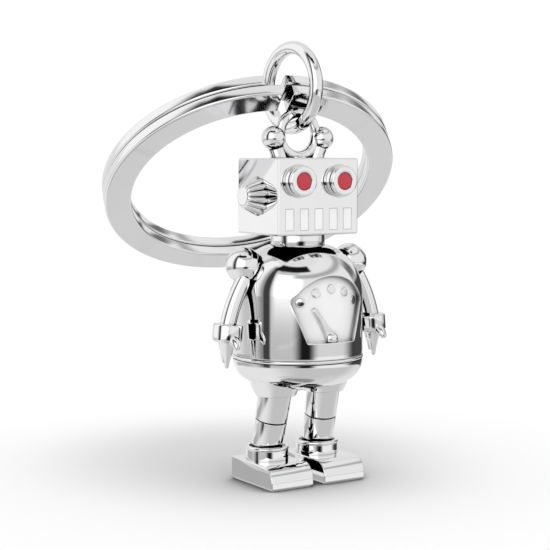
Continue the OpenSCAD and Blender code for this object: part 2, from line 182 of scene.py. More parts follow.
def add_world(studio):
    """A white room; the plating reflects the studio's panels."""
    world = bpy.data.worlds.new("studio_world")
    bpy.context.scene.world = world
    world.use_nodes = True
    t = Tree(world.node_tree)
    t.nodes.clear()
    coords = t.add("ShaderNodeTexCoord")
    panels = t.add("ShaderNodeGroup", node_tree=studio)
    t.feed(panels, 0, coords.outputs["Generated"])
    ray = t.add("ShaderNodeLightPath")
    part = t.add("ShaderNodeSeparateXYZ")
    t.feed(part, 0, coords.outputs["Generated"])
    walls = t.step(part.outputs["Z"], 0.2, 0.85, ROOM_WALLS, ROOM_CEILING)
    room = t.mix(ray.outputs["Is Camera Ray"], walls, grey(1.02))
    colour = t.mix(ray.outputs["Is Glossy Ray"], room, panels.outputs[0])
    back = t.add("ShaderNodeBackground")
    t.feed(back, "Color", colour)
    end = t.add("ShaderNodeOutputWorld")
    t.links.new(back.outputs[0], end.inputs[0])


def add_floor():
    """White table with a painted shadow round the robot and painted contact shadow beside the parts; the
    plating reflects the studio's own table top through it.
    """
    mesh = bpy.data.meshes.new("floor")
    reach = 0.9
    corners = [(-reach, -reach, 0), (reach, -reach, 0), (reach, reach, 0), (-reach, reach, 0)]
    mesh.from_pydata(corners, [], [(0, 1, 2, 3)])
    floor = bpy.data.objects.new("floor", mesh)
    bpy.context.scene.collection.objects.link(floor)
    material = bpy.data.materials.new("white_table")
    material.use_nodes = True
    t = Tree(material.node_tree)
    t.nodes.clear()
    ray = t.add("ShaderNodeLightPath")
    surface = t.add("ShaderNodeBsdfDiffuse")
    coords = t.add("ShaderNodeTexCoord")
    # Painted shadow: the table's colour darkens towards SHADE_CENTRE, standing in for the soft shadow of the
    # robot and the rings.
    reach_out = t.add("ShaderNodeVectorMath", operation="DISTANCE")
    t.feed(reach_out, 0, coords.outputs["Object"])
    reach_out.inputs[1].default_value = SHADE_CENTRE
    painted_shadow = t.step(reach_out.outputs["Value"], SHADE_START, SHADE_END, 0.80, 0.96)
    # Painted contact shadow: the table's colour darkens where ambient occlusion finds a part within
    # CONTACT_REACH.
    contact = t.add("ShaderNodeAmbientOcclusion", samples=8)
    contact.inputs["Distance"].default_value = CONTACT_REACH
    painted_contact_shadow = t.step(contact.outputs["AO"], 0.48, 0.88, 0.42, 1.0)
    t.feed(surface, "Color", t.math("MULTIPLY", painted_shadow, painted_contact_shadow))
    either = t.add("ShaderNodeMixShader")
    t.feed(either, 0, ray.outputs["Is Glossy Ray"])
    t.links.new(surface.outputs[0], either.inputs[1])
    t.links.new(t.add("ShaderNodeBsdfTransparent").outputs[0], either.inputs[2])
    end = t.add("ShaderNodeOutputMaterial")
    t.links.new(either.outputs[0], end.inputs[0])
    mesh.materials.append(material)


def add_overhead_light():
    """Broad soft light from above, for the shadow on the table; it has no reflection of its own."""
    data = bpy.data.lights.new("overhead", "SUN")
    data.energy = 1.75
    data.angle = math.radians(80)
    light = bpy.data.objects.new("overhead", data)
    bpy.context.scene.collection.objects.link(light)
    light.visible_glossy = False


def add_camera():
    data = bpy.data.cameras.new("camera")
    data.sensor_width = 36
    data.lens = CAMERA_LENS
    data.clip_start = 0.005
    data.clip_end = 10
    camera = bpy.data.objects.new("camera", data)
    bpy.context.scene.collection.objects.link(camera)
    level = math.cos(VIEW_DROP)
    forward = Vector((math.sin(VIEW_TURN) * level, math.cos(VIEW_TURN) * level, -math.sin(VIEW_DROP)))
    camera.location = CAMERA_PLACE
    camera.rotation_euler = forward.to_track_quat("-Z", "Y").to_euler()
    bpy.context.scene.camera = camera


# ---------------------------------------------------------------- materials

def surface_material(name, colour_a, colour_b, metallic, roughness, variation, bump,
                     grain=(1, 1, 1), coat=0.0):
    """Procedural finish: cloudy colour, painted shade in tight corners, uneven roughness, fine relief and
    worn edges.
    """
    material = bpy.data.materials.new(name)
    material.use_nodes = True
    t = Tree(material.node_tree)
    t.nodes.clear()
    shader = t.add("ShaderNodeBsdfPrincipled")
    coords = t.add("ShaderNodeTexCoord")
    stretch = t.add("ShaderNodeMapping")
    t.feed(stretch, "Vector", coords.outputs["Object"])
    t.feed(stretch, "Scale", grain)
    clouds = t.noise(coords.outputs["Object"], 420.0)
    fine = t.noise(stretch.outputs["Vector"], 5200.0, 4.0, 0.6)
    edge = t.step(t.add("ShaderNodeNewGeometry").outputs["Pointiness"], 0.52, 0.60)
    # Painted shade: the base colour darkens towards grey in tight corners, where ambient occlusion finds
    # other surfaces close by.
    corners = t.add("ShaderNodeAmbientOcclusion", samples=8)
    corners.inputs["Distance"].default_value = CORNER_REACH
    painted_corner_shade = t.step(corners.outputs["AO"], 0.25, 0.80, 1.0, 0.0)
    clean = t.mix(clouds, colour_a, colour_b)
    t.feed(shader, "Base Color", t.mix(t.math("MULTIPLY", painted_corner_shade, 0.7), clean, grey(0.12)))
    spread = t.math("MULTIPLY", t.math("SUBTRACT", fine, 0.5), variation)
    worn = t.math("MULTIPLY", edge, variation)
    rough = t.math("ADD", t.math("ADD", spread, worn), roughness, clamp=True)
    t.feed(shader, "Roughness", rough)
    shader.inputs["Metallic"].default_value = metallic
    shader.inputs["Coat Weight"].default_value = coat
    shader.inputs["Coat Roughness"].default_value = 0.05
    relief = t.add("ShaderNodeBump")
    relief.inputs["Strength"].default_value = bump
    relief.inputs["Distance"].default_value = 0.00002
    t.feed(relief, "Height", fine)
    t.feed(shader, "Normal", relief.outputs[0])
    end = t.add("ShaderNodeOutputMaterial")
    t.links.new(shader.outputs[0], end.inputs[0])
    return material


PLATE = surface_material(
    "mirror_plating", (0.93, 0.93, 0.935, 1), (0.88, 0.88, 0.89, 1), 1.0, 0.035, 0.03, 0.012
)
SATIN = surface_material("satin_plating", (1.0, 1.0, 1.0, 1), (0.96, 0.96, 0.97, 1), 0.2, 0.42, 0.10, 0.05)
BRUSHED = surface_material(
    "brushed_plating", (0.90, 0.90, 0.91, 1), (0.80, 0.80, 0.81, 1), 1.0, 0.22, 0.10, 0.06, (1, 1, 8)
)
WIRE = surface_material(
    "drawn_wire_plating", (0.94, 0.94, 0.95, 1), (0.89, 0.89, 0.90, 1), 1.0, 0.11, 0.06, 0.03
)
STEEL = surface_material(
    "turned_steel", (0.62, 0.62, 0.63, 1), (0.50, 0.50, 0.51, 1), 1.0, 0.26, 0.12, 0.10, (1, 1, 9)
)
WHITE = surface_material(
    "white_enamel", (1.0, 1.0, 1.0, 1), (0.96, 0.96, 0.955, 1), 0.0, 0.14, 0.05, 0.02, coat=0.5
)
RED = surface_material(
    "red_enamel", (0.60, 0.022, 0.042, 1), (0.52, 0.018, 0.036, 1), 0.0, 0.24, 0.06, 0.03, coat=0.4
)
SLOT_LOOK = {
    "polished_plate": PLATE, "ring_plate": WIRE, "steel_pin": STEEL, "white_enamel": WHITE, "red_enamel": RED
}


def dress_cad_nodes():
    for row in frame["record"]["subparts"]:
        mesh = nodes[row["node"]].data
        mesh.materials.clear()
        mesh.materials.append(SLOT_LOOK[row["material_slot"]])


# ---------------------------------------------------------------- mesh helpers, in millimetres

def arc(x, y, radius, start, end, steps):
    """Points on a circle, from one angle to another in degrees."""
    angles = [math.radians(start + (end - start) * i / steps) for i in range(steps + 1)]
    return [(x + radius * math.cos(a), y + radius * math.sin(a)) for a in angles]


def rounded(corners, steps=5):
    """Outline through (x, y, radius) corners, each one rounded by its radius."""
    outline = []
    for i, (x, y, radius) in enumerate(corners):
        here = Vector((x, y))
        before = (Vector(corners[i - 1][:2]) - here).normalized()
        after = (Vector(corners[(i + 1) % len(corners)][:2]) - here).normalized()
        if radius == 0 or before.length == 0 or after.length == 0:
            outline.append((x, y))
            continue
        half = before.angle(after) / 2
        centre = here + (before + after).normalized() * (radius / math.sin(half))
        first = here + before * (radius / math.tan(half)) - centre
        last = here + after * (radius / math.tan(half)) - centre
        turn = first.angle_signed(last)
        for k in range(steps + 1):
            spoke = Matrix.Rotation(-turn * k / steps, 2) @ first
            outline.append(tuple(centre + spoke))
    return outline


def skin(sections, ring=False, loop=True):
    """Vertices and faces through equal sections; ring joins the last to the first, loop closes each."""
    count, size = len(sections), len(sections[0])
    verts = [tuple(p) for section in sections for p in section]
    faces = []
    for i in range(count if ring else count - 1):
        for j in range(size if loop else size - 1):
            a, b = i * size, (i + 1) % count * size
            k = (j + 1) % size
            faces.append((a + j, b + j, b + k, a + k))
    if not ring:
        faces += [tuple(range(size)), tuple(range((count - 1) * size, count * size))[::-1]]
    return verts, faces


def turned(profile, steps=128, closed=False):
    """Lathe a profile of (radius, height) points about Z; closed marks a profile that is a loop."""
    angles = [2 * math.pi * i / steps for i in range(steps)]
    sections = [[(r * math.cos(a), r * math.sin(a), z) for r, z in profile] for a in angles]
    return skin(sections, ring=True, loop=closed)


def disc_profile(radius, low, high, edge):
    """Profile of a solid disc with rounded edges."""
    return ([(0, low)] + arc(radius - edge, low + edge, edge, -90, 0, 5)
            + arc(radius - edge, high - edge, edge, 0, 90, 5) + [(0, high)])


def sphere_shape(radius, steps=96):
    return turned(arc(0, 0, radius, -90, 90, steps // 2), steps)


def tube(path, thickness, steps=32):
    """Round bar along a path of points; thickness gives its radius at each share of the path."""
    sections = []
    up = Vector((0, 1, 0.2)).normalized()
    for i, point in enumerate(path):
        ahead = (Vector(path[min(i + 1, len(path) - 1)]) - Vector(path[max(i - 1, 0)])).normalized()
        side = ahead.cross(up).normalized()
        other = ahead.cross(side)
        radius = thickness(i / (len(path) - 1))
        sections.append([
            Vector(point) + (side * math.cos(a) + other * math.sin(a)) * radius
            for a in (2 * math.pi * k / steps for k in range(steps))
        ])
    return skin(sections)


def moved(shape, matrix):
    return [tuple(matrix @ Vector(v)) for v in shape[0]], shape[1]


def joined(*shapes):
    verts, faces = [], []
    for v, f in shapes:
        start = len(verts)
        verts += v
        faces += [tuple(k + start for k in face) for face in f]
    return verts, faces


def place(x, y, z, lean_x=0.0, lean_y=0.0, turn=0.0):
    """Rotate about X, then Y, then Z, in degrees, and then move."""
    rotation = (Matrix.Rotation(math.radians(turn), 4, "Z") @ Matrix.Rotation(math.radians(lean_y), 4, "Y")
                @ Matrix.Rotation(math.radians(lean_x), 4, "X"))
    return Matrix.Translation((x, y, z)) @ rotation


def sided(shape, side):
    """The left-hand shape, or its mirror image for the right."""
    if side > 0:
        return shape
    return [(-x, y, z) for x, y, z in shape[0]], [face[::-1] for face in shape[1]]


CREASE = 32.0       # degrees; an edge that turns more than this stays crisp


def clean_mesh(name, shape, sharp=CREASE):
    """Closed mesh in metres, with merged poles, outward normals and sharp creases marked."""
    mesh = bpy.data.meshes.new(name)
    mesh.from_pydata([tuple(c * MM for c in v) for v in shape[0]], [], shape[1])
    bm = bmesh.new()
    bm.from_mesh(mesh)
    bmesh.ops.remove_doubles(bm, verts=bm.verts, dist=1e-7)
    bmesh.ops.dissolve_degenerate(bm, edges=bm.edges, dist=1e-8)
    bmesh.ops.recalc_face_normals(bm, faces=bm.faces)
    bm.to_mesh(mesh)
    bm.free()
    mesh.shade_smooth()
    mesh.set_sharp_from_angle(angle=math.radians(sharp))
    return mesh


def even_shading(piece):
    """Large faces look flat beside their rounded edges."""
    piece.modifiers.new("flat_faces", "WEIGHTED_NORMAL").keep_sharp = True


def add_piece(name, shape, material, slot, body, *replaced, sharp=CREASE):
    piece = bpy.data.objects.new(name, clean_mesh(name, shape, sharp))
    bpy.context.scene.collection.objects.link(piece)
    piece.data.materials.append(material)
    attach(piece, body)
    even_shading(piece)
    if replaced:
        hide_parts(*replaced)
    return piece


def carve(piece, shape):
    """Cuts a closed shape out of a piece."""
    cutter = bpy.data.objects.new("cutter", clean_mesh("cutter", shape))
    bpy.context.scene.collection.objects.link(cutter)
    piece.modifiers.clear()
    cut = piece.modifiers.new("cut", "BOOLEAN")
    cut.operation = "DIFFERENCE"
    cut.solver = "EXACT"
    cut.object = cutter
    bpy.context.view_layer.update()
    result = bpy.data.meshes.new_from_object(piece.evaluated_get(bpy.context.evaluated_depsgraph_get()))
    result.name = piece.name + "_cut"
    piece.modifiers.clear()
    bpy.data.objects.remove(cutter)
    piece.data = result
    result.set_sharp_from_angle(angle=math.radians(CREASE))
    even_shading(piece)


# ---------------------------------------------------------------- legs

LEG_X, CUFF_X, ANKLE_Y = 3.05, 3.2, 1.0
FOOT_H = 2.45
KNEE = (LEG_X + 0.1, 0.26, 6.75)
HIP = (LEG_X, -0.45, 10.0)
THIGH_LEAN, SHIN_LEAN, SPLAY = 12.3, 13.3, -2.0
THIGH_R, SHIN_R, TAPER = 1.8, 1.66, 0.06
KNEE_GAP = 0.12


def foot_shape():
    """Stack of level sections: a step above the sole, flat sides and a round toe."""
    inner, outer, toe, heel = 0.7, 5.9, -4.15, 3.95
    toe_r, step, edge, plan_r = 1.7, 0.3, 0.1, 0.13
    levels = [(0.0, toe + step, step), (step, toe, 0.0)]
    for i in range(31):
        a = math.radians(3 * i)
        z = FOOT_H - toe_r + toe_r * math.sin(a)
        levels.append((z, toe + toe_r - toe_r * math.cos(a), 0.0))
    sections = []
    for z, front, side in levels:
        over = min(max(0.0, z - (FOOT_H - edge)), edge)
        side += edge - math.sqrt(edge * edge - over * over)
        back = heel - side
        outline = rounded([
            (inner + side, front, plan_r), (outer - side, front, plan_r), (outer - side, back, plan_r),
            (inner + side, back, plan_r)
        ])
        sections.append([(x, y, z) for x, y in outline])
    return skin(sections)


def cuff_shape():
    """Ring with a rolled rim round the ankle."""
    body_r, rim_r, rim, top = 2.25, 2.1, 0.22, 3.9
    profile = (
        [(0, FOOT_H - 0.2), (body_r, FOOT_H - 0.2), (body_r, FOOT_H + 0.05), (body_r - 0.01, FOOT_H + 0.5)]
        + [(body_r, top - 2 * rim)]
        + arc(rim_r, top - rim, rim, -55, 140, 14)
        + [(1.9, top - 0.2), (1.86, top - 0.3), (0, top - 0.3)]
    )
    return moved(turned(profile), place(CUFF_X, ANKLE_Y, 0))


def leg_bar(radius_low, radius_high, low, high, edge):
    """Tapered bar along Z with softened ends."""
    profile = ([(0, low)] + arc(radius_low - edge, low + edge, edge, -90, 0, 4)
               + arc(radius_high - edge, high - edge, edge, 0, 90, 4) + [(0, high)])
    return turned(profile)


def add_legs():
    for side, tag in ((1, "left"), (-1, "right")):
        body = "leg_" + tag
        shin = moved(leg_bar(SHIN_R - TAPER, SHIN_R + TAPER, -3.6, -KNEE_GAP / 2, 0.05),
                     place(*KNEE, SHIN_LEAN, SPLAY))
        thigh_len = (HIP[2] - KNEE[2]) / math.cos(math.radians(THIGH_LEAN))
        thigh = moved(leg_bar(THIGH_R - TAPER, THIGH_R, -thigh_len + KNEE_GAP / 2, 1.2, 0.05),
                      place(*HIP, THIGH_LEAN, SPLAY))
        shapes = {"foot": foot_shape(), "ankle_cuff": cuff_shape(), "shin": shin, "thigh": thigh}
        for name, shape in shapes.items():
            node = name + "_" + tag
            add_piece(node + "_plated", sided(shape, side), PLATE, "polished_plate", body, node)


# ---------------------------------------------------------------- pelvis and torso

TORSO_R, DOME_R, DOME_Z = 6.93, 5.2, 20.2
TORSO_LOW, TORSO_TOP = 13.65, 25.2
DIAL_DEPTH = 0.6
SHOULDER = (6.71, 0.0, 23.25)
BALL_R, BALL_GAP = 1.92, 0.15


def bowl_profile():
    """Full-bodied bowl, with the neck of the groove that the waist ring sits in."""
    low, rim, groove = 10.05, 13.2, 13.25
    neck_r = TORSO_R - 0.19
    curve = []
    for i in range(49):
        down = (1 - i / 48) ** 1.6
        curve.append((TORSO_R * (1 - down ** 2.2) ** (1 / 3), rim - (rim - low) * down))
    rim_edge = [(TORSO_R - 0.04, rim - 0.03), (neck_r, rim - 0.02)]
    return curve + rim_edge + [(neck_r, groove + 0.05), (0, groove + 0.05)]


def hip_boss_shape():
    """Flared socket under the bowl; its wall thins to a rounded lip round the leg."""
    bore, lip, low, top = 2.05, 0.08, 9.53, 11.4
    flare = [(2.27, 9.68), (2.38, 9.9), (2.52, 10.2), (2.66, 10.55), (2.78, 10.95), (2.86, top)]
    profile = [(bore, top), (bore, low)] + arc(bore + lip, low, lip, 180, 360, 8)[1:] + flare
    return moved(turned(profile, closed=True), place(HIP[0], HIP[1], 0))


def radius_at(z, inset=0.0):
    """Radius of the torso, or of a surface inside it, at a height."""
    if z <= DOME_Z:
        return TORSO_R - inset
    return TORSO_R - DOME_R + math.sqrt((DOME_R - inset) ** 2 - (z - DOME_Z) ** 2)


def on_torso(x, z, inset=0.0):
    return (x, -math.sqrt(radius_at(z, inset) ** 2 - x * x), z)


DIAL_R, DIAL_Z, DIAL_LOW, DIAL_FOOT = 4.93, 17.4, 15.45, 2.88
DIAL_MID = Vector((0.0, 18.4))


def dial_edge(angle, grow):
    """Point on the fan-shaped outline of the dial, in the direction of an angle, grown outwards."""
    way = Vector((math.sin(angle), math.cos(angle)))
    slant_x, slant_z = 0.939, -0.344
    slant_offset = DIAL_FOOT * slant_x + DIAL_LOW * slant_z + grow
    sides = [
        (Vector((0, -1)), -(DIAL_LOW - grow)),
        (Vector((slant_x, slant_z)), slant_offset),
        (Vector((-slant_x, slant_z)), slant_offset),
    ]
    reach = []
    for normal, offset in sides:
        facing = way.dot(normal)
        if facing > 0.05:
            reach.append((offset - DIAL_MID.dot(normal)) / facing)
    below = DIAL_MID.y - DIAL_Z
    lift = way.y * below
    reach.append(-lift + math.sqrt(lift * lift + (DIAL_R + grow) ** 2 - below * below))
    sharpness = 60
    soft = sum(r ** -sharpness for r in reach) ** (-1 / sharpness)
    return DIAL_MID + way * soft


def torso_shape():
    """Lathed shell; a window in its front is filled by a patch that holds the dial's recess."""
    columns, window, window_low, window_high = 180, 27, 14.6, 23.2
    edge, spread, fillet = 0.09, 9, 0.07
    inside = [(5.87, TORSO_LOW), (TORSO_R - 0.1, TORSO_LOW)]
    side_z = [TORSO_LOW + 0.1 + 0.38 * i for i in range(18)]
    outer = arc(TORSO_R - edge, TORSO_LOW + edge, edge, -60, 0, 3)
    outer += [(TORSO_R, z) for z in side_z[1:]] + arc(TORSO_R - DOME_R, DOME_Z, DOME_R, 0, 73.5, 49)
    outer[-1] = (radius_at(TORSO_TOP), TORSO_TOP)
    rest = [(1.05, TORSO_TOP), (1.05, 24.2), (3.6, 24.2), (3.6, 21.5), (4.6, 21.5), (4.6, 15), (5.87, 15)]
    profile = inside + outer + rest
    rows = [i for i, (r, z) in enumerate(profile) if r > 5.89 and window_low < z < window_high]
    low, high = rows[0], rows[-1]
    front = 3 * columns // 4
    verts, faces = turned(profile, columns, closed=True)
    size = len(profile)

    def vertex(column, row):
        return column % columns * size + row

    kept = []
    for face in faces:
        turns = {((v // size) - front + columns // 2) % columns - columns // 2 for v in face}
        levels = {v % size for v in face}
        if max(turns) <= window and min(turns) >= -window and min(levels) >= low and max(levels) <= high:
            continue
        kept.append(face)
    border = (
        [vertex(front + c, low) for c in range(-window, window)]
        + [vertex(front + window, r) for r in range(low, high)]
        + [vertex(front - c, high) for c in range(-window, window)]
        + [vertex(front - window, r) for r in range(high, low, -1)]
    )
    flat = [Vector((verts[v][0], verts[v][2])) for v in border]
    angles = [math.atan2(p.x - DIAL_MID.x, p.y - DIAL_MID.y) for p in flat]
    rings = []
    for k in range(1, spread):
        share = (k / spread) ** 0.8
        rings.append([on_torso(*p.lerp(dial_edge(a, fillet), share)) for p, a in zip(flat, angles)])
    for k in range(6):
        bend = math.radians(90 * k / 5)
        ring = []
        for a in angles:
            p = dial_edge(a, fillet * (1 - math.sin(bend)))
            x, y, z = on_torso(*p)
            ring.append((x, y + fillet * (1 - math.cos(bend)), z))
        rings.append(ring)
    rings.append([on_torso(*dial_edge(a, 0), DIAL_DEPTH * 0.5) for a in angles])
    for k in range(4):
        bend = math.radians(90 * k / 3)
        ring = []
        for a in angles:
            x, y, z = on_torso(*dial_edge(a, -fillet * (1 - math.cos(bend))), DIAL_DEPTH)
            ring.append((x, y - fillet * (1 - math.sin(bend)), z))
        rings.append(ring)
    for k in range(1, 16):
        share = 1 - k / 16
        rings.append([
            on_torso(*(DIAL_MID + (dial_edge(a, -fillet) - DIAL_MID) * share), DIAL_DEPTH) for a in angles
        ])
    start, count = len(verts), len(border)
    for ring in rings:
        verts.extend(ring)
    verts.append(on_torso(DIAL_MID.x, DIAL_MID.y, DIAL_DEPTH))
    before = border
    for k in range(len(rings)):
        now = [start + k * count + i for i in range(count)]
        kept += [(before[i], before[(i + 1) % count], now[(i + 1) % count], now[i]) for i in range(count)]
        before = now
    kept += [(before[i], before[(i + 1) % count], len(verts) - 1) for i in range(count)]
    return verts, kept


def lamp_shape(turn, z):
    """Low round stud on the recess's floor."""
    radius = 0.48
    profile = [(0, -0.3), (radius, -0.3), (radius, 0.03)] + arc(radius - 0.07, 0.03, 0.07, 0, 80, 4) + [
        (radius * 0.6, 0.105), (0, 0.11)
    ]
    out = radius_at(z, DIAL_DEPTH)
    tilt = 90 - math.degrees(math.asin(max(0.0, z - DOME_Z) / (DOME_R - DIAL_DEPTH)))
    spot = Matrix.Rotation(math.radians(turn), 4, "Z") @ place(0, -out, z, tilt)
    return moved(turned(profile, 40), spot)


def needle_shape():
    """Raised pointer that follows the curve of the floor, with softened edges."""
    corners = rounded([(-0.66, 15.7, 0.12), (0.25, 16.15, 0.12), (-1.93, 19.1, 0.08), (-2.27, 18.9, 0.08)])
    middle = Vector((-0.95, 17.2))
    sections = []
    for lift, keep in ((-0.2, 1.0), (0.1, 1.0), (0.16, 0.97), (0.2, 0.88), (0.23, 0.6), (0.24, 0.15)):
        ring = []
        for x, z in corners:
            p = middle + (Vector((x, z)) - middle) * keep
            ring.append(on_torso(p.x, p.y, DIAL_DEPTH - lift))
        sections.append(ring)
    return skin(sections)


def pivot_shape():
    radius = 0.72
    dome = [(radius * math.cos(math.radians(a)), 0.56 * math.sin(math.radians(a))) for a in range(0, 91, 9)]
    profile = [(0, -0.2), (radius, -0.2)] + dome
    return moved(turned(profile, 48), place(0, -(TORSO_R - DIAL_DEPTH), DIAL_LOW + 0.40, 90))


def add_torso():
    bowl = joined(turned(bowl_profile(), 180), hip_boss_shape(), sided(hip_boss_shape(), -1))
    add_piece("pelvis_plated", bowl, PLATE, "polished_plate", "torso", "pelvis_bowl")
    bead = turned([(5.9, 13.25), (6.6, 13.2)] + arc(TORSO_R - 0.12, 13.45, 0.2, -90, 90, 12)
                  + [(6.6, 13.7), (5.9, 13.65)], 180, closed=True)
    add_piece("waist_bead", bead, PLATE, "polished_plate", "torso", "waist_ring")
    torso = add_piece("torso_plated", torso_shape(), PLATE, "polished_plate", "torso", "torso_shell")
    ball = moved(sphere_shape(BALL_R + BALL_GAP), place(*SHOULDER))
    carve(torso, joined(ball, sided(ball, -1)))
    torso.data.materials.append(SATIN)
    floor_inner, floor_top = 5, 22.4
    for face in torso.data.polygons:
        x, y, z = (c / MM for c in face.center)
        across = math.hypot(x, y)
        on_floor = floor_inner < across < radius_at(z, DIAL_DEPTH) + 0.02
        if y < 0 and DIAL_LOW < z < floor_top and on_floor:
            face.material_index = 1
    lamp_spots = ((0, 20.95), (16.1, 20.55), (-16.1, 20.55), (31.4, 19.6), (-31.4, 19.6))
    lamps = [lamp_shape(turn, z) for turn, z in lamp_spots]
    add_piece("lamp_studs", joined(*lamps), PLATE, "polished_plate", "torso", "dial_lamps")
    add_piece("pointer", needle_shape(), BRUSHED, "polished_plate", "torso", "dial_needle")
    add_piece("pointer_pivot", pivot_shape(), PLATE, "polished_plate", "torso", "dial_pivot")
    collar = turned(disc_profile(2.89, TORSO_TOP - 0.02, 26.36, 0.06))
    add_piece("collar_plated", collar, PLATE, "polished_plate", "torso", "neck_collar")


# ---------------------------------------------------------------- arms

ARM_R, ARM_BEND, ARM_Y, ARM_SWEEP = 0.85, 14.3, -0.8, 20.0
WRIST_X, WRIST_Z, WRIST_LEAN, HAND_LEAN = 9.1, 17.4, 14.0, 5.0
ARM_INNER, FLAT_FROM = TORSO_R + 0.07, 18.3


def arm_shape():
    """Bent round bar, flattened where it would meet the torso."""
    lean = math.radians(WRIST_LEAN)
    centre = (WRIST_X - ARM_BEND * math.cos(lean), WRIST_Z - ARM_BEND * math.sin(lean))
    sections = []
    for i in range(49):
        a = lean + math.radians(ARM_SWEEP + 1) * i / 48 - math.radians(1)
        ring = []
        for k in range(40):
            b = 2 * math.pi * k / 40
            out = ARM_BEND + ARM_R * math.cos(b)
            x, z = centre[0] + out * math.cos(a), centre[1] + out * math.sin(a)
            ring.append((max(x, ARM_INNER) if z > FLAT_FROM else x, ARM_Y + ARM_R * math.sin(b), z))
        sections.append(ring)
    return skin(sections)


def cone(radius, tip, length):
    """Tapered digit hanging down from the origin, with a round tip."""
    slope = math.degrees(math.atan((radius - tip) / length))
    shares = [k / 6 for k in range(1, 6)]
    profile = [(0, 0), (radius, 0)]
    profile += [(tip + (radius - tip) * (1 - share) ** 1.25, -length * share) for share in shares]
    profile += arc(0, -length, tip, -slope, -90, 6)
    return turned(profile, 48)


def hand_shape():
    """Round cuff with two pointed fingers and a hooked thumb."""
    cuff_r, cuff_len, low_edge, top_edge = 1.55, 1.9, 0.32, 0.25
    cuff = turned([(0, -cuff_len)] + arc(cuff_r - low_edge, -cuff_len + low_edge, low_edge, -90, 0, 7)
                  + arc(cuff_r - top_edge, -top_edge, top_edge, 0, 90, 6) + [(0, 0)])
    thumb_path = [
        (0, -0.55, -1.25), (0, -1.05, -1.5), (0, -1.5, -1.72),
        (0, -1.85, -1.95), (0, -2.08, -2.22), (0, -2.14, -2.5)
    ]
    parts = [
        cuff,
        moved(cone(0.98, 0.22, 2.9), place(0, -0.25, -cuff_len + 0.4, 2, 2)),
        moved(cone(0.84, 0.2, 2.4), place(0, 0.5, -cuff_len + 0.4, 0, 2)),
        tube(thumb_path, lambda s: 0.58 - 0.36 * s ** 2.2, 24),
    ]
    return moved(joined(*parts), place(WRIST_X, ARM_Y, WRIST_Z, 0, -HAND_LEAN))


def add_arms():
    for side, tag in ((1, "left"), (-1, "right")):
        body = "arm_" + tag
        ball = moved(sphere_shape(BALL_R), place(*SHOULDER))
        for name, shape in (("shoulder_ball", ball), ("arm", arm_shape()), ("hand", hand_shape())):
            node = name + "_" + tag
            add_piece(node + "_plated", sided(shape, side), PLATE, "polished_plate", body, node)


# ---------------------------------------------------------------- head

HEAD_W, HEAD_D, HEAD_LOW, HEAD_TOP = 10.0, 8.0, 26.4, 34.4
EYE_X, EYE_Z, EAR_Z = 2.54, 32.0, 30.4
TOOTH_PITCH, TOOTH_W, TOOTH_H, TOOTH_Z = 1.81, 1.0, 2.2, 26.95
ANTENNA_X, ANTENNA_Z = 3.06, 36.47
EYELET_R, EYELET_WIRE, EYELET_Z = 2.25, 0.53, 36.87


def soft_block(x0, y0, z0, x1, y1, z1, edge, steps=4):
    """Block whose twelve edges are rounded."""
    levels = [(z0 + edge * (1 - math.sin(t)), edge * (1 - math.cos(t))) for t in
              (math.pi / 2 * (1 - k / steps) for k in range(steps + 1))]
    levels += [(z0 + z1 - z, inset) for z, inset in reversed(levels)]
    sections = []
    for z, inset in levels:
        corner = max(edge - inset, edge * 0.15)
        outline = rounded([(x0 + inset, y0 + inset, corner), (x1 - inset, y0 + inset, corner),
                           (x1 - inset, y1 - inset, corner), (x0 + inset, y1 - inset, corner)], steps)
        sections.append([(x, y, z) for x, y in outline])
    return skin(sections)


def ear_shape():
    """Fluted knob that narrows away from the head to a rounded end."""
    flutes, per_flute, length, depth = 14, 12, 1.9, 0.22
    levels = [
        (-0.02, 2.03), (0.0, 2.03), (0.06, 2.05), (0.14, 2.03), (0.5, 1.86), (1.0, 1.62),
        (1.5, 1.36), (1.66, 1.26), (1.78, 1.15), (1.86, 1.03), (1.89, 0.95), (length, 0.86)
    ]
    sections = []
    for out, radius in levels:
        ring = []
        cut = depth * min(max((length - out) / 0.4, 0.0), 1.0)
        for k in range(flutes * per_flute):
            a = 2 * math.pi * k / (flutes * per_flute)
            across = radius * (1 - cut * (1 - abs(math.sin(a * flutes / 2)) ** 0.8))
            ring.append((HEAD_W / 2 + out, across * math.cos(a), EAR_Z + across * math.sin(a)))
        sections.append(ring)
    return skin(sections)


def eye_shape():
    """Two stacked rings with a groove between them and a cup in the end."""
    profile = (
        [(0, -0.1), (1.65, -0.1)] + arc(1.65 - 0.06, 0.42, 0.06, 0, 90, 4) + arc(1.5, 0.56, 0.06, 250, 110, 5)
        + arc(1.61 - 0.08, 0.7, 0.08, -90, 0, 4) + arc(1.61 - 0.22, 0.88, 0.22, 0, 90, 8)
        + arc(1.0, 1.02, 0.08, 90, 180, 5) + [(0.92, 0.8), (0, 0.8)]
    )
    return moved(turned(profile), place(EYE_X, -HEAD_D / 2, EYE_Z, 90))


def eye_fill_shape():
    """Slightly domed drop of enamel in the cup."""
    profile = [(0, 0.78), (0.93, 0.78), (0.93, 0.97), (0.88, 1.01), (0.7, 1.04), (0.35, 1.065), (0, 1.07)]
    return moved(turned(profile, 64), place(EYE_X, -HEAD_D / 2, EYE_Z, 90))


def antenna_shape():
    """Ball on a leaning stem that swells into it."""
    ball = moved(sphere_shape(1.28), place(ANTENNA_X, 0, ANTENNA_Z))
    stem = turned([(0, -3.0), (0.86, -3.0), (0.8, -2.0), (0.79, -1.6), (0.84, -1.1), (0, -0.8)], 64)
    return joined(ball, moved(stem, place(ANTENNA_X, 0, ANTENNA_Z, 0, 18.6)))


